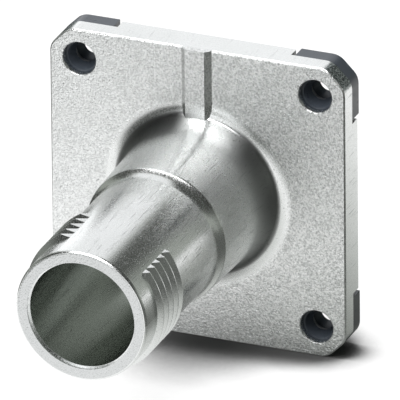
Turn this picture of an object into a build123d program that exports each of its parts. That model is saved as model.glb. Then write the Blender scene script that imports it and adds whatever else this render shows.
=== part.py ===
from build123d import *
from math import acos, cos, degrees, radians, sin
import os

os.makedirs("parts", exist_ok=True)

# Mounting flange
flange_side = 25.0
flange_thick = 2.7
corner_cut = 1.6
corner_round = 1.4
flange_edge_break = 0.12
hole_inset = 2.5
screw_hole_r = 1.4
screw_hole_break = 0.06
screw_lip = 0.5

# Flared base, body and collar
foot_r = 7.9
foot_sweep_round = 3.0
foot_sweep_turn = 19.0
foot_bend_round = 0.35
foot_bend_turn = 41.0
body_r = 6.15
collar_r = 5.93
collar_front = 9.06
collar_edge_round = 0.3
collar_edge_turn = 45.0
shoulder_length = 0.85

# Key rib on the flange
rib_face_width = 1.64
rib_base_width = 2.55
rib_height = 0.48

# Tube and bore
reach = 24.3
tube_r = 5.5
rim_round = 0.26
edge_flats = 3
bore_r = 4.4
mouth_step = 0.12
mouth_depth = 0.35
socket_r = 5.1
socket_depth = 10.0

# Interrupted thread
thread_pitch = 1.0
thread_height = 0.4
thread_base_width = 0.72
thread_crest_width = 0.1
thread_turns = 5
first_ridge_behind_rim = 2.6
thread_short_z = 3.45
thread_long_z = 5.1

# Gasket and its channel
channel_depth = 1.1
rim_wall = 2.0
boss_r = 7.4
lobe_reach = 4.8
lobe_end_gap = 0.35
gasket_gap = 0.15
gasket_stand_proud = 0.5
gasket_edge_break = 0.2
sleeve_gap = 0.1
sleeve_outer_r = 1.8
sleeve_inner_r = 1.2
ring_height = 0.35
ring_count = 2

# Working allowances
overlap = 0.5
embed = 0.15
run_in_angle = 10.0

flange_front_y = -flange_thick
rim_y = flange_front_y - reach
corner = flange_side / 2
hole_offset = corner - hole_inset
channel_side = flange_side - 2 * rim_wall
sleeve_bore_r = sleeve_outer_r + sleeve_gap
lip_rear_y = flange_front_y + screw_lip
sleeve_front_y = lip_rear_y + sleeve_gap
gasket_thick = channel_depth + gasket_stand_proud


def across(y):
    """Plane square to the bore axis, seen from the tube end."""
    return Plane(origin=(0, y, 0), x_dir=(1, 0, 0), z_dir=(0, -1, 0))


def turned(points):
    """Solid of revolution about the bore axis from corners given as radius and y."""
    return revolve(make_face(Polyline(*points, close=True)), Axis.Y)


def flange_outline():
    """Square with cut and slightly rounded corners."""
    square = Rectangle(flange_side, flange_side)
    cut = chamfer(square.vertices(), corner_cut)
    return fillet(cut.vertices(), corner_round)


def corner_squares(side):
    """Four squares of the given reach at the flange corners, running past its edges."""
    full = side + overlap
    centre = corner + overlap - full / 2
    return GridLocations(2 * centre, 2 * centre, 2, 2) * Rectangle(full, full)


def flange_plate():
    """Plate with its front outline edge broken."""
    plate = extrude(across(0) * flange_outline(), flange_thick)
    front_edges = plate.edges().group_by(Axis.Y)[0]
    return chamfer(front_edges, flange_edge_break)


def eased_edge(side_r, front_y, radius, full_turn):
    """Corners given as radius and y that ease a front edge in short flats."""
    corners = []
    for flat in range(edge_flats + 1):
        turn = radians(full_turn * flat / edge_flats)
        inward = radius * (1 - cos(turn))
        backward = radius * (1 - sin(turn))
        corners.append((side_r - inward, front_y + backward))
    return corners


def barrel():
    """Flared base, body, collar and tube turned as one outer form."""
    foot = (foot_r, flange_front_y)
    foot_arc = JernArc(foot, (-1, 0), foot_sweep_round, foot_sweep_turn)
    bend_arc = JernArc(foot_arc @ 1, foot_arc % 1, foot_bend_round, foot_bend_turn)
    neck_start = bend_arc @ 1
    turned_so_far = foot_sweep_turn + foot_bend_turn
    neck_round = (neck_start.X - body_r) / (1 - sin(radians(turned_so_far)))
    neck_arc = JernArc(neck_start, bend_arc % 1, neck_round, 90 - turned_so_far)
    collar_y = flange_front_y - collar_front
    collar_edge = eased_edge(collar_r, collar_y, collar_edge_round, collar_edge_turn)
    shoulder_end = (tube_r, collar_y - shoulder_length)
    rim_edge = eased_edge(tube_r, rim_y, rim_round, 90)
    root_y = flange_front_y / 2
    tube_line = Polyline(
        shoulder_end,
        *rim_edge,
        (0, rim_y),
        (0, root_y),
        (foot_r, root_y),
        foot,
    )
    outline = [
        foot_arc,
        bend_arc,
        neck_arc,
        Polyline(neck_arc @ 1, *collar_edge),
        TangentArc(shoulder_end, collar_edge[-1], tangent=(0, 1)),
        tube_line,
    ]
    return revolve(make_face(outline), Axis.Y)


def key_rib():
    """Tapered rib that runs from the flared base to the top edge of the flange."""
    root_y = flange_front_y + embed
    face_y = flange_front_y - rib_height
    half_base = rib_base_width / 2
    half_face = rib_face_width / 2
    section = Polyline(
        (-half_base, root_y),
        (-half_base, flange_front_y),
        (-half_face, face_y),
        (half_face, face_y),
        (half_base, flange_front_y),
        (half_base, root_y),
        close=True,
    )
    return Pos(0, 0, tube_r) * extrude(make_face(section), corner - tube_r)


def thread_ridge(turn):
    """One turn of the helical ridge, sunk a little into the tube."""
    cut_angle = degrees(acos(thread_short_z / tube_r))
    run_in = thread_pitch * run_in_angle / 360
    start_y = rim_y + first_ridge_behind_rim + turn * thread_pitch - run_in
    start_angle = cut_angle - run_in_angle
    outward = (sin(radians(start_angle)), 0, cos(radians(start_angle)))
    frame = Plane(origin=(0, start_y, 0), x_dir=outward, z_dir=(0, 1, 0))
    path = frame.location * Helix(thread_pitch, thread_pitch, tube_r)
    half_base = thread_base_width / 2
    half_crest = thread_crest_width / 2
    slope = (half_base - half_crest) / thread_height
    half_root = half_base + slope * embed
    section = Polyline(
        (-embed, -half_root),
        (thread_height, -half_crest),
        (thread_height, half_crest),
        (-embed, half_root),
        close=True,
    )
    start = Plane(origin=path @ 0, x_dir=frame.x_dir, z_dir=path % 0)
    return sweep(start * make_face(section), path, is_frenet=True)


def thread_sector():
    """Space of the right-hand sector, cut level at its top and its foot."""
    high = thread_short_z + thread_long_z
    middle = (thread_short_z - thread_long_z) / 2
    wide = tube_r + thread_height + overlap
    long = (thread_turns + 2) * thread_pitch
    start_y = rim_y + first_ridge_behind_rim - thread_pitch
    return Pos(wide / 2, start_y + long / 2, middle) * Box(wide, long, high)


def thread():
    """Helical ridges kept only in two opposite sectors."""
    right = thread_sector()
    left = right.rotate(Axis.Y, 180)
    ridges = []
    for turn in range(thread_turns):
        ridge = thread_ridge(turn)
        ridges.append(ridge & right)
        ridges.append(ridge & left)
    return ridges


def through_bore():
    """Stepped bore: shallow mouth recess, long bore and wider rear socket."""
    mouth_r = bore_r + mouth_step
    mouth_end_y = rim_y + mouth_depth
    return turned([
        (0, rim_y - overlap),
        (mouth_r, rim_y - overlap),
        (mouth_r, mouth_end_y),
        (bore_r, mouth_end_y),
        (bore_r, -socket_depth),
        (socket_r, -socket_depth),
        (socket_r, overlap),
        (0, overlap),
    ])


def screw_bore():
    """Screw hole with a thin front lip and room behind it for a gasket sleeve."""
    return turned([
        (0, flange_front_y - overlap),
        (screw_hole_r + screw_hole_break + overlap, flange_front_y - overlap),
        (screw_hole_r, flange_front_y + screw_hole_break),
        (screw_hole_r, lip_rear_y),
        (sleeve_bore_r, lip_rear_y),
        (sleeve_bore_r, 0),
        (0, 0),
    ])


def gasket_channel():
    """Square channel round the rear boss, open at the four corners."""
    frame = Rectangle(channel_side, channel_side) + corner_squares(lobe_reach + lobe_end_gap)
    profile = frame - Circle(boss_r)
    return extrude(across(overlap) * profile, overlap + channel_depth)


def at_screw_holes(shape):
    """Copies of a shape on the four screw hole axes."""
    offsets = (-hole_offset, hole_offset)
    return [Pos(x, 0, z) * shape for x in offsets for z in offsets]


def housing():
    """One cast piece: flange, base, body, collar, tube and thread."""
    solid = flange_plate() + barrel() + key_rib()
    solid = solid + thread()
    solid = solid - through_bore() - gasket_channel()
    return solid - at_screw_holes(screw_bore())


def gasket_sleeve():
    """Sleeve that lines a screw hole, its bore ridged by sharp gripping rings."""
    rear_y = gasket_stand_proud
    flank = (rear_y - sleeve_front_y) / (2 * ring_count - 1)
    ring_r = sleeve_inner_r - ring_height
    corners = [(sleeve_outer_r, sleeve_front_y), (sleeve_outer_r, rear_y)]
    for ring in range(ring_count):
        crest_y = rear_y - 2 * ring * flank
        corners.append((ring_r, crest_y))
        corners.append((sleeve_inner_r, crest_y - flank))
    return turned(corners)


def flange_gasket():
    """Moulded seal: square frame, corner lobes and screw hole sleeves."""
    frame_side = channel_side - 2 * gasket_gap
    frame = Rectangle(frame_side, frame_side) + corner_squares(lobe_reach)
    profile = (frame & flange_outline()) - Circle(boss_r + gasket_gap)
    plate = extrude(across(gasket_stand_proud) * profile, gasket_thick)
    rear_edges = plate.edges().group_by(Axis.Y)[-1]
    plate = chamfer(rear_edges, gasket_edge_break)
    hole = turned([
        (0, -channel_depth - overlap),
        (sleeve_outer_r - embed, -channel_depth - overlap),
        (sleeve_outer_r - embed, gasket_stand_proud + overlap),
        (0, gasket_stand_proud + overlap),
    ])
    plate = plate - at_screw_holes(hole)
    return plate + at_screw_holes(gasket_sleeve())


parts = {
    "housing": housing(),
    "flange_gasket": flange_gasket(),
}
for name, shape in parts.items():
    shape.label = name
    export_step(shape, "parts/" + name + ".step")
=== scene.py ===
from math import cos, radians, sin

import bpy
from mathutils import Matrix, Vector


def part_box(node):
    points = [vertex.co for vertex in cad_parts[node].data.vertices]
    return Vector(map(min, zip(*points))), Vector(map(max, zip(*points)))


bl_info = {
    "name": "Connector Flange Housing",
    "version": (1, 0, 0),
    "blender": (4, 5, 0),
    "location": "View3D > Sidebar > Connector",
    "description": "Finishes, stage and camera for a plated flange housing and its gasket",
    "category": "Object",
}

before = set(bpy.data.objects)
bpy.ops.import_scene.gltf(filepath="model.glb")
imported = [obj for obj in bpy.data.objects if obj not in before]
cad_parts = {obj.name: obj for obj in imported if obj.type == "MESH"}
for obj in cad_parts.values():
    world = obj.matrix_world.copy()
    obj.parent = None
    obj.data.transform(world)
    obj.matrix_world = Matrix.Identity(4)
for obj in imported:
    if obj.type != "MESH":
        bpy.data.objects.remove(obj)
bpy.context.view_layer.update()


# Units

MM = 0.001
PICTURE_PX = 400


def mm(*sizes):
    """Sizes given in mm, in metres."""
    return tuple(size * MM for size in sizes)


def per_metre(size_mm):
    """Texture scale that gives marks of this size."""
    return 1 / (size_mm * MM)


# Places on the housing: y runs along the bore axis and r is the distance from it

housing_low, housing_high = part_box("housing")
RIM_Y = housing_low.y
FLOOR_Z = housing_low.z
HALF_SIDE = housing_high.x
FLANGE_FRONT_Y = -2.7 * MM
EDGE_BREAK = 0.12 * MM
CHANNEL_FLOOR_Y = -1.1 * MM
MOUTH_DEPTH = 0.35 * MM
CORNER_CUT = 1.6 * MM

# Margins between a face and the limit that tells it from its neighbours
RIM_MARGIN = 0.02 * MM
FRONT_MARGIN = 0.1 * MM
SIDE_MARGIN = 0.05 * MM
FINE_MARGIN = 0.01 * MM

# Stretches over which one finish fades into the next
BLAST_START_R = mm(7.55, 8.1)
CUT_FADE = mm(0.4, 0.1)
INSIDE_R = mm(5.2, 5.3)
NECK_Y = mm(-8.5, -5.5)
# The hollow and sweep stretches carry painted shade
HOLLOW_Y = mm(-7.0, -3.2)
HOLLOW_R = mm(6.95, 7.15)
SWEEP_R = mm(7.3, 8.0)

# Painted glint: the flecks' contrast grows from the left of the flange to its right, standing in for
# light that shows the grain more on the right
PAINTED_GLINT_GROWTH_X = mm(-9, 7)
PAINTED_GLINT_GROWTH = (0.5, 1.0)

# Strips across the part: from, to and softness of the ends
CREST_X = mm(-0.7, 3.7, 1.0)
SWEEP_X = mm(-7.2, -1.3, 0.6)
SWEEP_Z = mm(3.6, 12, 1.4)


# Settings

class HousingFinish(bpy.types.PropertyGroup):
    plate_colour: bpy.props.StringProperty(
        name="Plating colour", description="sRGB hex colour of the nickel plate", default="#F6F7F7")
    cloud_colour: bpy.props.StringProperty(
        name="Cloud colour", description="sRGB hex colour where the plate is cloudy", default="#E6E8E7")
    rim_colour: bpy.props.StringProperty(
        name="Rim colour", description="sRGB hex colour of the turned rim", default="#D6D8D8")
    # Painted shade: the bore is painted darker where shade falls in it
    bore_shade_colour: bpy.props.StringProperty(
        name="Bore colour", description="sRGB hex colour of the thinly plated bore", default="#A3A8A2")
    # Painted shade: the gasket channel is painted dark where shade falls in it
    channel_shade_colour: bpy.props.StringProperty(
        name="Channel colour", description="sRGB hex colour of the gasket channel", default="#4A4C4B")
    # Painted shade: the corner cuts are painted dark, with pale flecks, in place of the dim room they
    # mirror
    cut_dark: bpy.props.StringProperty(
        name="Corner cut, dark", description="sRGB hex colour of the raw cast corners", default="#454D4D")
    cut_pale: bpy.props.StringProperty(
        name="Corner cut, pale", description="sRGB hex colour of the flecks on the corners",
        default="#A1A9A8")
    grit_mm: bpy.props.FloatProperty(
        name="Blast grit", description="Size of one fleck of the blasted flange face, in mm",
        default=0.155, min=0.02)
    orange_peel_mm: bpy.props.FloatProperty(
        name="Cast ripple", description="Size of the soft ripple of the tumbled tube, in mm",
        default=0.10, min=0.02)
    flange_roughness: bpy.props.FloatProperty(
        name="Flange roughness", description="Roughness of the blasted flange face", default=0.32,
        min=0, max=1, subtype="FACTOR")
    tube_roughness: bpy.props.FloatProperty(
        name="Tube roughness", description="Roughness of the tumbled tube and base", default=0.22,
        min=0, max=1, subtype="FACTOR")


class GasketFinish(bpy.types.PropertyGroup):
    rubber_colour: bpy.props.StringProperty(
        name="Rubber colour", description="sRGB hex colour of the moulded rubber", default="#454C55")
    bloom_colour: bpy.props.StringProperty(
        name="Bloom colour", description="sRGB hex colour where the rubber has bloomed",
        default="#575E68")
    scuff_colour: bpy.props.StringProperty(
        name="Scuff colour", description="sRGB hex colour of the scuffs", default="#747B83")
    pebble_mm: bpy.props.FloatProperty(
        name="Mould texture", description="Size of the fine mould texture, in mm",
        default=0.12, min=0.02)
    roughness: bpy.props.FloatProperty(
        name="Roughness", description="Roughness of the rubber", default=0.30,
        min=0, max=1, subtype="FACTOR")


class StageSettings(bpy.types.PropertyGroup):
    floor_side: bpy.props.FloatProperty(
        name="Floor side", description="Side of the square floor", default=1.6, min=0.1, unit="LENGTH")
    floor_colour: bpy.props.StringProperty(
        name="Floor colour", description="sRGB hex colour of the floor", default="#686868")
    contact_reach: bpy.props.FloatProperty(
        name="Contact reach", description="Distance over which the part's foot shades the floor",
        default=0.006, min=0.001, unit="LENGTH")
    shadow_reach: bpy.props.FloatProperty(
        name="Shadow reach", description="Distance over which the tube shades the floor",
        default=0.0105, min=0.001, unit="LENGTH")
    lamp_power: bpy.props.FloatProperty(
        name="Soft box power", description="Power of the overhead soft box", default=0.7,
        min=0, unit="POWER")
    lamp_side: bpy.props.FloatProperty(
        name="Soft box side", description="Length that both sides of the soft box are drawn from",
        default=0.18, min=0.01, unit="LENGTH")
    lamp_place: bpy.props.FloatVectorProperty(
        name="Soft box place", description="Place of the soft box", size=3,
        default=(-0.03, -0.15, 0.31), subtype="TRANSLATION", unit="LENGTH")


class CameraSettings(bpy.types.PropertyGroup):
    azimuth: bpy.props.FloatProperty(
        name="Azimuth", description="Turn of the camera round the part", default=radians(22.26),
        subtype="ANGLE")
    elevation: bpy.props.FloatProperty(
        name="Elevation", description="Height of the camera above the horizon",
        default=radians(25.04), subtype="ANGLE")
    roll: bpy.props.FloatProperty(
        name="Roll", description="Turn of the picture about the line of sight",
        default=radians(-0.54), subtype="ANGLE")
    distance: bpy.props.FloatProperty(
        name="Distance", description="Distance from the camera to the part", default=1.5,
        unit="LENGTH")
    pixels_per_mm: bpy.props.FloatProperty(
        name="Pixels per mm", description="Size of the part in the 400 pixel picture",
        default=12.667)
    aim_px: bpy.props.FloatVectorProperty(
        name="Aim", description="Picture point in pixels where the part's origin falls", size=2,
        default=(210.7, 179.4))


# Colours and nodes

SMOOTH = {"interpolation_type": "SMOOTHSTEP"}
NUMBERS = {"data_type": "FLOAT"}
COLOURS = {"data_type": "RGBA"}
TINTS = {"data_type": "RGBA", "blend_type": "MULTIPLY"}


def linear(hex_code):
    """Linear colour of an sRGB hex value."""
    digits = hex_code.lstrip("#")
    channels = []
    for start in (0, 2, 4):
        value = int(digits[start:start + 2], 16) / 255
        low = value / 12.92
        high = ((value + 0.055) / 1.055) ** 2.4
        channels.append(low if value <= 0.04045 else high)
    return (*channels, 1.0)


def add_node(tree, kind, settings=None, **links):
    """Adds a node, sets its options, and fills its sockets with values or with other sockets."""
    node = tree.nodes.new(kind)
    for name, value in (settings or {}).items():
        setattr(node, name, value)
    for name, value in links.items():
        numbered = name[0] == "s" and name[1:].isdigit()
        socket = node.inputs[int(name[1:]) if numbered else name.replace("_", " ")]
        if isinstance(value, bpy.types.NodeSocket):
            tree.links.new(value, socket)
        else:
            socket.default_value = value
    return node


def new_material(name):
    """Empty node material with its shader and output."""
    material = bpy.data.materials.new(name)
    material.use_nodes = True
    tree = material.node_tree
    tree.nodes.clear()
    shader = add_node(tree, "ShaderNodeBsdfPrincipled")
    add_node(tree, "ShaderNodeOutputMaterial", Surface=shader.outputs["BSDF"])
    return material, tree, shader


def spans(before, after=(0, 1)):
    """Socket values that map one pair of values to another."""
    return {"From_Min": before[0], "From_Max": before[1], "To_Min": after[0], "To_Max": after[1]}


# Masks

def overlap(tree, *masks):
    """Product of several masks: 1 only where all of them are."""
    total = masks[0]
    for mask in masks[1:]:
        total = add_node(tree, "ShaderNodeMath", {"operation": "MULTIPLY"}, s0=total, s1=mask).outputs[0]
    return total


def strip(tree, value, low, high, soft):
    """1 between two values and 0 outside them, with soft ends."""
    rise = add_node(tree, "ShaderNodeMapRange", SMOOTH, Value=value, **spans((low - soft, low + soft)))
    fall = add_node(tree, "ShaderNodeMapRange", SMOOTH, Value=value,
                    **spans((high - soft, high + soft), (1, 0)))
    return overlap(tree, rise.outputs["Result"], fall.outputs["Result"])


def round_the_bore(tree, place, radii, levels=(0, 1)):
    """First level within the first radius of the bore axis, second level beyond the second."""
    flat = add_node(tree, "ShaderNodeVectorMath", {"operation": "MULTIPLY"}, s0=place, s1=(1, 0, 1))
    far = add_node(tree, "ShaderNodeVectorMath", {"operation": "LENGTH"}, s0=flat.outputs["Vector"])
    return add_node(tree, "ShaderNodeMapRange", SMOOTH, Value=far.outputs["Value"],
                    **spans(radii, levels)).outputs["Result"]


def wear_marks(tree, place, across_mm, along_mm, faint, full):
    """Sparse marks of handling, stretched along the bore axis: 1 in a mark and 0 beside it."""
    stretch = add_node(tree, "ShaderNodeMapping", Vector=place,
                       Scale=(per_metre(across_mm), per_metre(along_mm), per_metre(across_mm)))
    marks = add_node(tree, "ShaderNodeTexNoise", Vector=stretch.outputs["Vector"], Scale=1.0, Detail=2.0)
    return add_node(tree, "ShaderNodeMapRange", SMOOTH, Value=marks.outputs[0],
                    **spans((faint, full))).outputs["Result"]


def housing_regions(tree, place):
    """Masks of the stretches of the housing that have a finish or a painted shade of their own."""
    axes = add_node(tree, "ShaderNodeSeparateXYZ", Vector=place)
    x, y, z = (axes.outputs[name] for name in "XYZ")
    sideways = [add_node(tree, "ShaderNodeMath", {"operation": "ABSOLUTE"}, s0=axis).outputs[0]
                for axis in (x, z)]
    widest, diagonal = (
        add_node(tree, "ShaderNodeMath", {"operation": way}, s0=sideways[0], s1=sideways[1]).outputs[0]
        for way in ("MAXIMUM", "ADD"))
    planes = {
        "on_rim": (y, "LESS_THAN", RIM_Y + RIM_MARGIN),
        "behind_mouth": (y, "GREATER_THAN", RIM_Y + MOUTH_DEPTH + SIDE_MARGIN),
        "before_flange": (y, "LESS_THAN", FLANGE_FRONT_Y + FRONT_MARGIN),
        "behind_front_edge": (y, "GREATER_THAN", FLANGE_FRONT_Y + EDGE_BREAK + FINE_MARGIN),
        "behind_channel_floor": (y, "GREATER_THAN", CHANNEL_FLOOR_Y - FINE_MARGIN),
        "before_rear_face": (y, "LESS_THAN", -FINE_MARGIN),
        "within_sides": (widest, "LESS_THAN", HALF_SIDE - SIDE_MARGIN),
        "above_axis": (z, "GREATER_THAN", 0),
    }
    side = {}
    for name, (distance, operation, limit) in planes.items():
        side[name] = add_node(tree, "ShaderNodeMath", {"operation": operation},
                              s0=distance, s1=limit).outputs[0]
    cut_line = 2 * HALF_SIDE - CORNER_CUT
    near_cut, in_depth, on_base = (
        add_node(tree, "ShaderNodeMapRange", SMOOTH, Value=value, **spans(stretch)).outputs["Result"]
        for value, stretch in (
            (diagonal, (cut_line - CUT_FADE[0], cut_line - CUT_FADE[1])),
            (y, HOLLOW_Y),
            (y, NECK_Y),
        ))
    within_foot = round_the_bore(tree, place, HOLLOW_R, (1, 0))
    # The hollow's painted shade is left off its crest, under the key rib and to its right, where the
    # light catches it
    crest = overlap(tree, strip(tree, x, *CREST_X), side["above_axis"])
    off_crest = add_node(tree, "ShaderNodeMath", {"operation": "SUBTRACT"}, s0=1, s1=crest).outputs[0]
    # Painted glint: the contrast of the flecks grows from the left of the flange to its right
    painted_glint_growth = add_node(tree, "ShaderNodeMapRange", Value=x, **spans(PAINTED_GLINT_GROWTH_X, PAINTED_GLINT_GROWTH))
    return {
        "rim": side["on_rim"],
        "flange_front": overlap(tree, round_the_bore(tree, place, BLAST_START_R), side["before_flange"]),
        "painted_glint_growth": painted_glint_growth.outputs["Result"],
        "corner_cut": overlap(tree, near_cut, side["behind_front_edge"]),
        "bore": overlap(tree, side["behind_mouth"], round_the_bore(tree, place, INSIDE_R, (1, 0))),
        "channel": overlap(tree, side["within_sides"], side["behind_channel_floor"],
                           side["before_rear_face"], round_the_bore(tree, place, INSIDE_R)),
        "neck": overlap(tree, on_base, within_foot),
        # Painted shade falls in the hollow and over the upper left sweep
        "hollow": overlap(tree, in_depth, within_foot, off_crest),
        "upper_left_sweep": overlap(tree, in_depth, round_the_bore(tree, place, SWEEP_R, (1, 0)),
                                    strip(tree, x, *SWEEP_X), strip(tree, z, *SWEEP_Z)),
    }


# Nickel plate on the zinc casting

PIT_SHARE = 0.78
PIT_DEPTH = 0.07 * MM
RIPPLE_TO_PIT_STRENGTH = (0.06, 1.0)
RIM_GRAIN = 0.7
CLOUD_MM = 4.0

# Share of the noise that shows, and what it turns into
PIT_SPREAD = (0.3, 0.7)
PIT_DULLNESS = (-0.05, 0.08)
FLECK_SPREAD = (0.38, 0.62)
# Fleck tones hold random grain of the blast and painted glints
FLECK_TONE_AND_GLINT = (0.71, 1.25)
CUT_SPREAD = (0.44, 0.58)

# Rubs: width, length, and the noise values at which they start and are full
RUBS = (0.16, 2.4, 0.58, 0.74)
RUB_DULLNESS = 0.16
HOLLOW_DULLNESS = 0.04
NECK_DULLNESS = 0.08
RUB_SHADE = 0.86
HOLLOW_PAINTED_SHADE = 0.35
SWEEP_PAINTED_SHADE = 0.42


def nickel_plated_casting(finish):
    """Nickel plate on zinc die casting: blasted, sparkling flange face and smoother tumbled tube."""
    material, tree, shader = new_material("nickel_plated_zinc_casting")
    place = add_node(tree, "ShaderNodeTexCoord").outputs["Object"]
    on = housing_regions(tree, place)
    # The corner cuts are as grainy as the blasted flange, and the rim is a little less so
    blasted = on["flange_front"]
    for mask in (overlap(tree, on["rim"], RIM_GRAIN), on["corner_cut"]):
        blasted = add_node(tree, "ShaderNodeMath", {"operation": "MAXIMUM"},
                           s0=blasted, s1=mask).outputs[0]

    # Blasting leaves overlapping pits that glint one by one, drawn coarse enough to show, and
    # tumbling leaves a soft ripple
    pits = add_node(tree, "ShaderNodeTexNoise", Vector=place, Scale=per_metre(PIT_SHARE * finish.grit_mm),
                    Detail=1.0, Roughness=0.5).outputs[0]
    flecks = add_node(tree, "ShaderNodeTexNoise", Vector=place, Scale=per_metre(finish.grit_mm),
                      Detail=2.0, Roughness=0.7).outputs[0]
    ripple = add_node(tree, "ShaderNodeTexNoise", Vector=place, Scale=per_metre(finish.orange_peel_mm),
                      Detail=1.0, Roughness=0.5).outputs[0]
    strength = add_node(tree, "ShaderNodeMapRange", Value=blasted,
                        **spans((0, 1), RIPPLE_TO_PIT_STRENGTH))
    height = add_node(tree, "ShaderNodeMix", NUMBERS, s0=blasted, s2=ripple, s3=pits)
    bump = add_node(tree, "ShaderNodeBump", Strength=strength.outputs["Result"], Distance=PIT_DEPTH,
                    Height=height.outputs[0])

    # Plate thickness tints the metal a little from place to place
    cloud = add_node(tree, "ShaderNodeTexNoise", Vector=place, Scale=per_metre(CLOUD_MM), Detail=3.0)
    tint = add_node(tree, "ShaderNodeMix", COLOURS, s0=cloud.outputs[0],
                    s6=linear(finish.plate_colour), s7=linear(finish.cloud_colour)).outputs[2]
    # Flecks are lighter or darker at random: grain of the blast, and painted glints where they are
    # lighter than the plate
    glint = add_node(tree, "ShaderNodeMapRange", Value=flecks, **spans(FLECK_SPREAD, FLECK_TONE_AND_GLINT))
    shade = add_node(tree, "ShaderNodeMix", NUMBERS, s0=overlap(tree, blasted, on["painted_glint_growth"]),
                     s2=1.0, s3=glint.outputs["Result"])
    tint = add_node(tree, "ShaderNodeMix", TINTS, s0=1.0, s6=tint, s7=shade.outputs[0]).outputs[2]
    grain = add_node(tree, "ShaderNodeMapRange", Value=pits, **spans(PIT_SPREAD, PIT_DULLNESS))
    base = add_node(tree, "ShaderNodeMix", NUMBERS, s0=blasted,
                    s2=finish.tube_roughness, s3=finish.flange_roughness)
    rough = add_node(tree, "ShaderNodeMath", {"operation": "ADD"},
                     s0=base.outputs[0], s1=grain.outputs["Result"]).outputs[0]

    # Fine rubs from handling run lengthwise, and the flared base is duller than the tube
    rubs = wear_marks(tree, place, *RUBS)
    for mask, dullness in (
        (rubs, RUB_DULLNESS),
        (on["hollow"], HOLLOW_DULLNESS),
        (on["neck"], NECK_DULLNESS),
    ):
        rough = add_node(tree, "ShaderNodeMath", {"operation": "MULTIPLY_ADD"},
                         s0=mask, s1=dullness, s2=rough).outputs[0]
    # Rubs are a little darker, and painted shade darkens the hollow of the base and, up on the left, its
    # sweep
    for mask, tone in (
        (rubs, RUB_SHADE),
        (on["hollow"], HOLLOW_PAINTED_SHADE),
        (on["upper_left_sweep"], SWEEP_PAINTED_SHADE),
    ):
        fade = add_node(tree, "ShaderNodeMapRange", Value=mask, **spans((0, 1), (1, tone)))
        tint = add_node(tree, "ShaderNodeMix", TINTS, s0=1.0, s6=tint,
                        s7=fade.outputs["Result"]).outputs[2]

    # Painted shade: the bore and the gasket channel are painted dark where shade falls in them, the
    # corner cuts are painted dark with pale flecks in place of the dim room they mirror, and the rim is
    # turned after plating and left a little duller
    # Painted shade on the corner cuts: dark with pale flecks
    speck = add_node(tree, "ShaderNodeMapRange", Value=flecks, **spans(CUT_SPREAD))
    painted_dark_cut = add_node(tree, "ShaderNodeMix", COLOURS, s0=speck.outputs["Result"],
                        s6=linear(finish.cut_dark), s7=linear(finish.cut_pale)).outputs[2]
    for region, colour in (
        ("bore", linear(finish.bore_shade_colour)),
        ("channel", linear(finish.channel_shade_colour)),
        ("corner_cut", painted_dark_cut),
        ("rim", linear(finish.rim_colour)),
    ):
        tint = add_node(tree, "ShaderNodeMix", COLOURS, s0=on[region], s6=tint, s7=colour).outputs[2]
    shader.inputs["Metallic"].default_value = 1.0
    tree.links.new(tint, shader.inputs["Base Color"])
    tree.links.new(rough, shader.inputs["Roughness"])
    tree.links.new(bump.outputs["Normal"], shader.inputs["Normal"])
    return material


# Moulded rubber of the gasket

BLOOM_MM = 2.0
BLOOM_SWING = 0.08
PEBBLE_STRENGTH = 0.3
PEBBLE_DEPTH = 0.01 * MM

# Scuffs: width, length, and the noise values at which they start and are full
SCUFFS = (0.5, 0.9, 0.6, 0.74)
SCUFF_COVER = 0.35
SCUFF_DULLNESS = 0.2


def moulded_rubber(finish):
    """Nitrile rubber from a fine-textured mould: dark slate grey, with a soft sheen to the light."""
    material, tree, shader = new_material("moulded_nitrile_rubber")
    place = add_node(tree, "ShaderNodeTexCoord").outputs["Object"]
    pebble = add_node(tree, "ShaderNodeTexNoise", Vector=place, Scale=per_metre(finish.pebble_mm),
                      Detail=2.0)
    bump = add_node(tree, "ShaderNodeBump", Strength=PEBBLE_STRENGTH, Distance=PEBBLE_DEPTH,
                    Height=pebble.outputs[0])
    bloom = add_node(tree, "ShaderNodeTexNoise", Vector=place, Scale=per_metre(BLOOM_MM), Detail=3.0)
    tint = add_node(tree, "ShaderNodeMix", COLOURS, s0=bloom.outputs[0],
                    s6=linear(finish.rubber_colour), s7=linear(finish.bloom_colour))
    swing = (finish.roughness - BLOOM_SWING, finish.roughness + BLOOM_SWING)
    rough = add_node(tree, "ShaderNodeMapRange", Value=bloom.outputs[0], **spans((0, 1), swing))
    # Scuffs from handling are a shade paler and duller
    scuffs = wear_marks(tree, place, *SCUFFS)
    tint = add_node(tree, "ShaderNodeMix", COLOURS, s0=overlap(tree, scuffs, SCUFF_COVER),
                    s6=tint.outputs[2], s7=linear(finish.scuff_colour))
    rough = add_node(tree, "ShaderNodeMath", {"operation": "MULTIPLY_ADD"},
                     s0=scuffs, s1=SCUFF_DULLNESS, s2=rough.outputs["Result"])
    tree.links.new(tint.outputs[2], shader.inputs["Base Color"])
    tree.links.new(rough.outputs[0], shader.inputs["Roughness"])
    tree.links.new(bump.outputs["Normal"], shader.inputs["Normal"])
    return material


def give_material(node, material):
    """Puts a finish on a node that comes from model.glb."""
    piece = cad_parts[node]
    if not piece.material_slots:
        raise RuntimeError(node + " has no material slot")
    for slot in piece.material_slots:
        slot.material = material


# White floor

FLOOR_ROUGHNESS = 0.9
SHADE_SAMPLES = 24

# How open the floor is to the room where a shadow is full and where it ends
CONTACT_OPENNESS = (0.60, 0.92)
SHADOW_OPENNESS = (0.34, 0.66)
MIRRORED_SHADOW = 0.3

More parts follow.
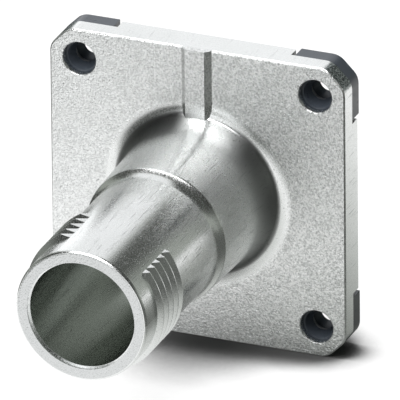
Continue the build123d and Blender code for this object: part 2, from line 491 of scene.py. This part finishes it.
# The lit board ends to the right of the part, nearest beside it, and the floor beyond is dim.
# Its end slants one way behind the part and the other way in front of it
BOARD_SLANTS = (("MAXIMUM", -0.92), ("MINIMUM", 0.45))
BOARD_END_X = mm(-15, 23)
BOARD_LIGHT = (1, 0.10)
FLAG_X = mm(-52, -36)
FLAG_LIGHT = (0.15, 1)
SCREEN_X = mm(-38, -24)
SCREEN_LIGHT = (0.4, 1)
SCREEN_START_Y = mm(-10, 10)

WHITE = "#FFFFFF"
DIM_ROOM = "#F8FFF5"
BRIGHT_ROOM = "#FDFEFF"


def background_ray(tree):
    """1 for rays that see the backdrop itself: camera, glossy and transmitted ones."""
    path = add_node(tree, "ShaderNodeLightPath")
    seen = path.outputs["Is Camera Ray"]
    for name in ("Is Glossy Ray", "Is Transmission Ray"):
        seen = add_node(tree, "ShaderNodeMath", {"operation": "MAXIMUM"},
                        s0=seen, s1=path.outputs[name]).outputs[0]
    return seen


def lit_board(tree):
    """Light on each place of the floor, as the plated metal mirrors it."""
    place = add_node(tree, "ShaderNodeTexCoord").outputs["Object"]
    axes = add_node(tree, "ShaderNodeSeparateXYZ", Vector=place)
    x, y = (axes.outputs[name] for name in "XY")
    slant = x
    for half, slope in BOARD_SLANTS:
        reach = add_node(tree, "ShaderNodeMath", {"operation": half}, s0=y, s1=0)
        slant = add_node(tree, "ShaderNodeMath", {"operation": "MULTIPLY_ADD"},
                         s0=reach.outputs[0], s1=slope, s2=slant).outputs[0]
    # A black flag darkens the board on the far left, and a screen half shades it behind the part
    board, flagged, screened, in_front = (
        add_node(tree, "ShaderNodeMapRange", SMOOTH, Value=value, **spans(*stretch)).outputs["Result"]
        for value, stretch in (
            (slant, (BOARD_END_X, BOARD_LIGHT)),
            (x, (FLAG_X, FLAG_LIGHT)),
            (x, (SCREEN_X, SCREEN_LIGHT)),
            (y, (SCREEN_START_Y, (1, 0))),
        ))
    half_shaded = add_node(tree, "ShaderNodeMath", {"operation": "MAXIMUM"}, s0=screened, s1=in_front)
    return overlap(tree, board, flagged, half_shaded.outputs[0])


def floor_material(stage):
    """Matt white sweep: white as a backdrop, with the part's own soft shadow where it is near."""
    material, tree, shader = new_material("matt_white_sweep")
    shader.inputs["Roughness"].default_value = FLOOR_ROUGHNESS
    shader.inputs["Specular IOR Level"].default_value = 0.0
    # A short dark shadow where the part stands, and a wider one under the tube
    shadows = []
    for reach, openness in (
        (stage.contact_reach, CONTACT_OPENNESS),
        (stage.shadow_reach, SHADOW_OPENNESS),
    ):
        shade = add_node(tree, "ShaderNodeAmbientOcclusion", {"samples": SHADE_SAMPLES}, Distance=reach)
        shadows.append(add_node(tree, "ShaderNodeMapRange", SMOOTH, Value=shade.outputs["AO"],
                                **spans(openness)).outputs["Result"])
    from_camera = add_node(tree, "ShaderNodeLightPath").outputs["Is Camera Ray"]
    kept = add_node(tree, "ShaderNodeMath", {"operation": "MAXIMUM"},
                    s0=from_camera, s1=lit_board(tree)).outputs[0]
    # The plate mirrors the shadow more faintly than the eye sees it
    faint = add_node(tree, "ShaderNodeMix", NUMBERS, s0=from_camera, s2=MIRRORED_SHADOW, s3=0.0)
    lift = add_node(tree, "ShaderNodeMath", {"operation": "MAXIMUM"},
                    s0=overlap(tree, *shadows), s1=faint.outputs[0]).outputs[0]
    glow = overlap(tree, background_ray(tree), lift, kept)
    hue = add_node(tree, "ShaderNodeMix", COLOURS, s0=kept, s6=linear(DIM_ROOM), s7=linear(WHITE))
    paint = add_node(tree, "ShaderNodeMix", TINTS, s0=1.0, s6=linear(stage.floor_colour), s7=kept)
    tree.links.new(hue.outputs[2], shader.inputs["Emission Color"])
    tree.links.new(glow, shader.inputs["Emission Strength"])
    tree.links.new(paint.outputs[2], shader.inputs["Base Color"])
    return material


# Studio room: strips of the direction looked in, each with from, to and softness of the ends

BACKDROP_X = (-0.66, 0.08, 0.08)
BACKDROP_Y = (0.14, 2, 0.06)
WINDOW_X = (-0.5, -0.04, 0.10)
WINDOW_Y = (-2, -0.4, 0.1)
WINDOW_Z = (0.02, 0.62, 0.06)
WINDOW_GAIN = 1.5
ROOM_LIGHT = 0.9

# Where nothing shines the room is dim, and dimmer high up and in front of the part
GLOOM_Z = (0.24, 0.42)
GLOOM_LIGHT = (0.36, 0.07)
FRONT_Y = (-0.5, 0.1)
FRONT_LIGHT = (0.4, 1)

# Sides of the soft box as shares of its drawn length
SOFT_BOX_SHARES = (1.6, 0.7)


def light_the_world():
    """Studio room: white backdrop behind on the left, a window in front on the left, dim elsewhere."""
    world = bpy.data.worlds.new("studio")
    world.use_nodes = True
    tree = world.node_tree
    tree.nodes.clear()
    towards = add_node(tree, "ShaderNodeTexCoord").outputs["Generated"]
    axes = add_node(tree, "ShaderNodeSeparateXYZ", Vector=towards)
    x, y, z = (axes.outputs[name] for name in "XYZ")
    backdrop = overlap(tree, strip(tree, x, *BACKDROP_X), strip(tree, y, *BACKDROP_Y))
    window = overlap(tree, strip(tree, x, *WINDOW_X), strip(tree, y, *WINDOW_Y),
                     strip(tree, z, *WINDOW_Z))
    bright = add_node(tree, "ShaderNodeMath", {"operation": "MULTIPLY_ADD"},
                      s0=window, s1=WINDOW_GAIN, s2=backdrop).outputs[0]
    high_up, in_front = (
        add_node(tree, "ShaderNodeMapRange", SMOOTH, Value=value, **spans(*stretch)).outputs["Result"]
        for value, stretch in ((z, (GLOOM_Z, GLOOM_LIGHT)), (y, (FRONT_Y, FRONT_LIGHT))))
    level = add_node(tree, "ShaderNodeMath", {"operation": "MULTIPLY_ADD"},
                     s0=bright, s1=ROOM_LIGHT, s2=overlap(tree, high_up, in_front))
    hue = add_node(tree, "ShaderNodeMix", COLOURS, s0=bright,
                   s6=linear(DIM_ROOM), s7=linear(BRIGHT_ROOM)).outputs[2]
    # The camera itself sees plain white behind the part
    from_camera = add_node(tree, "ShaderNodeLightPath").outputs["Is Camera Ray"]
    strength = add_node(tree, "ShaderNodeMix", NUMBERS, s0=from_camera, s2=level.outputs[0], s3=1.0)
    colour = add_node(tree, "ShaderNodeMix", COLOURS, s0=from_camera, s6=hue, s7=linear(WHITE))
    glow = add_node(tree, "ShaderNodeBackground", Color=colour.outputs[2], Strength=strength.outputs[0])
    add_node(tree, "ShaderNodeOutputWorld", Surface=glow.outputs[0])
    bpy.context.scene.world = world


def hang_soft_box(stage):
    """Oblong area lamp above the front of the part, aimed at its origin."""
    lamp = bpy.data.lights.new("overhead_soft_box", "AREA")
    lamp.shape = "RECTANGLE"
    lamp.size, lamp.size_y = (share * stage.lamp_side for share in SOFT_BOX_SHARES)
    lamp.energy = stage.lamp_power
    holder = bpy.data.objects.new("overhead_soft_box", lamp)
    bpy.context.scene.collection.objects.link(holder)
    place = Vector(stage.lamp_place)
    holder.matrix_world = Matrix.Translation(place) @ place.to_track_quat("Z", "Y").to_matrix().to_4x4()


# Operators

class CONNECTOR_OT_plate_housing(bpy.types.Operator):
    """Plate the cast housing"""
    bl_idname = "connector.plate_housing"
    bl_label = "Plate the housing"

    def execute(self, context):
        give_material("housing", nickel_plated_casting(context.scene.connector_housing))
        return {"FINISHED"}


class CONNECTOR_OT_mould_gasket(bpy.types.Operator):
    """Finish the flange gasket in moulded rubber"""
    bl_idname = "connector.mould_gasket"
    bl_label = "Finish the gasket"

    def execute(self, context):
        give_material("flange_gasket", moulded_rubber(context.scene.connector_gasket))
        return {"FINISHED"}


class CONNECTOR_OT_set_stage(bpy.types.Operator):
    """Lay the floor, light the room and hang the soft box"""
    bl_idname = "connector.set_stage"
    bl_label = "Set the stage"

    def execute(self, context):
        stage = context.scene.connector_stage
        half = stage.floor_side / 2
        corners = [(-half, -half, FLOOR_Z), (half, -half, FLOOR_Z), (half, half, FLOOR_Z),
                   (-half, half, FLOOR_Z)]
        mesh = bpy.data.meshes.new("floor")
        mesh.from_pydata(corners, [], [(0, 1, 2, 3)])
        floor = bpy.data.objects.new("floor", mesh)
        context.scene.collection.objects.link(floor)
        mesh.materials.append(floor_material(stage))
        light_the_world()
        hang_soft_box(stage)
        return {"FINISHED"}


# Width of the camera's sensor, and how many times its distance from the part it sees
SENSOR_MM = 36
SIGHT_REACH = 10


class CONNECTOR_OT_place_camera(bpy.types.Operator):
    """Place the camera at the photograph's viewing angle"""
    bl_idname = "connector.place_camera"
    bl_label = "Place the camera"

    def execute(self, context):
        view = context.scene.connector_camera
        lens = bpy.data.cameras.new("camera")
        lens.sensor_width = SENSOR_MM
        field = PICTURE_PX / view.pixels_per_mm * MM
        lens.lens = lens.sensor_width * view.distance / field
        lens.clip_end = SIGHT_REACH * view.distance
        back = Vector((sin(view.azimuth) * cos(view.elevation), -cos(view.azimuth) * cos(view.elevation),
                       sin(view.elevation)))
        level_right = Vector((cos(view.azimuth), sin(view.azimuth), 0))
        level_up = back.cross(level_right)
        right = cos(view.roll) * level_right + sin(view.roll) * level_up
        up = cos(view.roll) * level_up - sin(view.roll) * level_right
        middle = PICTURE_PX / 2
        across = (middle - view.aim_px[0]) / view.pixels_per_mm * MM
        down = (middle - view.aim_px[1]) / view.pixels_per_mm * MM
        place = back * view.distance + right * across - up * down
        holder = bpy.data.objects.new("camera", lens)
        context.scene.collection.objects.link(holder)
        turn = Matrix((right, up, back)).transposed().to_4x4()
        holder.matrix_world = Matrix.Translation(place) @ turn
        context.scene.camera = holder
        return {"FINISHED"}


# Panel and registration

STEPS = (
    CONNECTOR_OT_plate_housing,
    CONNECTOR_OT_mould_gasket,
    CONNECTOR_OT_set_stage,
    CONNECTOR_OT_place_camera,
)
GROUPS = {
    "connector_housing": HousingFinish,
    "connector_gasket": GasketFinish,
    "connector_stage": StageSettings,
    "connector_camera": CameraSettings,
}


class CONNECTOR_PT_panel(bpy.types.Panel):
    """Steps that dress the part"""
    bl_idname = "CONNECTOR_PT_panel"
    bl_label = "Connector Flange Housing"
    bl_space_type = "VIEW_3D"
    bl_region_type = "UI"
    bl_category = "Connector"

    def draw(self, context):
        for group in (getattr(context.scene, name) for name in GROUPS):
            box = self.layout.box()
            for name in group.bl_rna.properties.keys():
                if name not in ("rna_type", "name"):
                    box.prop(group, name)
        for step in STEPS:
            self.layout.operator(step.bl_idname)


def register():
    for group in GROUPS.values():
        bpy.utils.register_class(group)
    for name, group in GROUPS.items():
        setattr(bpy.types.Scene, name, bpy.props.PointerProperty(type=group))
    for step in (*STEPS, CONNECTOR_PT_panel):
        bpy.utils.register_class(step)


def unregister():
    for step in reversed((*STEPS, CONNECTOR_PT_panel)):
        bpy.utils.unregister_class(step)
    for name in GROUPS:
        delattr(bpy.types.Scene, name)
    for group in reversed(list(GROUPS.values())):
        bpy.utils.unregister_class(group)


def main():
    register()
    bpy.context.scene.view_settings.view_transform = "Standard"
    bpy.ops.connector.plate_housing()
    bpy.ops.connector.mould_gasket()
    bpy.ops.connector.set_stage()
    bpy.ops.connector.place_camera()


if __name__ == "__main__":
    main()
